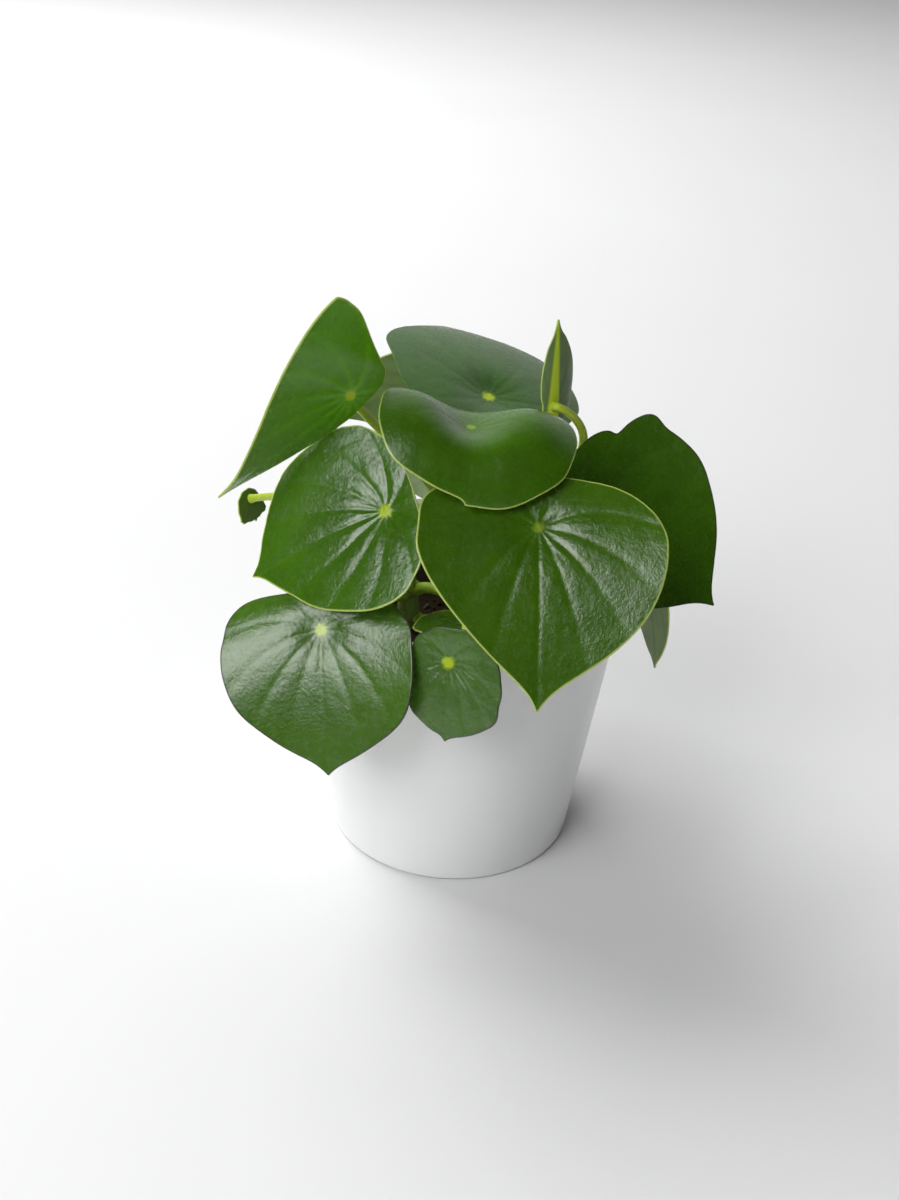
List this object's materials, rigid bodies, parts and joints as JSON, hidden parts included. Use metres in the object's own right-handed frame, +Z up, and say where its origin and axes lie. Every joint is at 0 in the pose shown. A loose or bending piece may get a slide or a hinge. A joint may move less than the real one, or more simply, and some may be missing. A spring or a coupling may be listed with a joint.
{
  "type": "potted raindrop peperomia",
  "caption": "Leafy house plant with round shield-shaped leaves on long stalks, growing in soil in a plain tapered pot.",
  "frame": {"origin": "middle of the pot's flat foot", "axes": "+Z up along the pot's axis, the front of the plant faces -Y"},
  "size_m": [0.1801, 0.189, 0.2236],
  "materials": {
    "pot": "satin",
    "soil": "matte",
    "stem": "satin",
    "stalk": "satin",
    "leaf": "gloss"
  },
  "bodies": {
    "root": {"pot": "pot", "soil": "soil", "stem_centre": "stem", "stem_front": "stem", "stem_rear": "stem", "stem_right": "stem", "stalk_crown": "stalk", "leaf_crown": "leaf", "stalk_front_left": "stalk", "leaf_front_left": "leaf", "stalk_front_right": "stalk", "leaf_front_right": "leaf", "stalk_inner": "stalk", "leaf_inner": "leaf", "stalk_left": "stalk", "leaf_left": "leaf", "stalk_low_right": "stalk", "leaf_low_right": "leaf", "stalk_outer_left": "stalk", "leaf_outer_left": "leaf", "stalk_rear": "stalk", "leaf_rear": "leaf", "stalk_rear_left": "stalk", "leaf_rear_left": "leaf", "stalk_rear_left_high": "stalk", "leaf_rear_left_high": "leaf", "stalk_rear_right": "stalk", "leaf_rear_right": "leaf", "stalk_rear_upright": "stalk", "leaf_rear_upright": "leaf", "stalk_right": "stalk", "leaf_right": "leaf", "stalk_small_front": "stalk", "leaf_small_front": "leaf", "stalk_tall_left": "stalk", "leaf_tall_left": "leaf", "stalk_young": "stalk", "leaf_young": "leaf"}
  },
  "joints": []
}
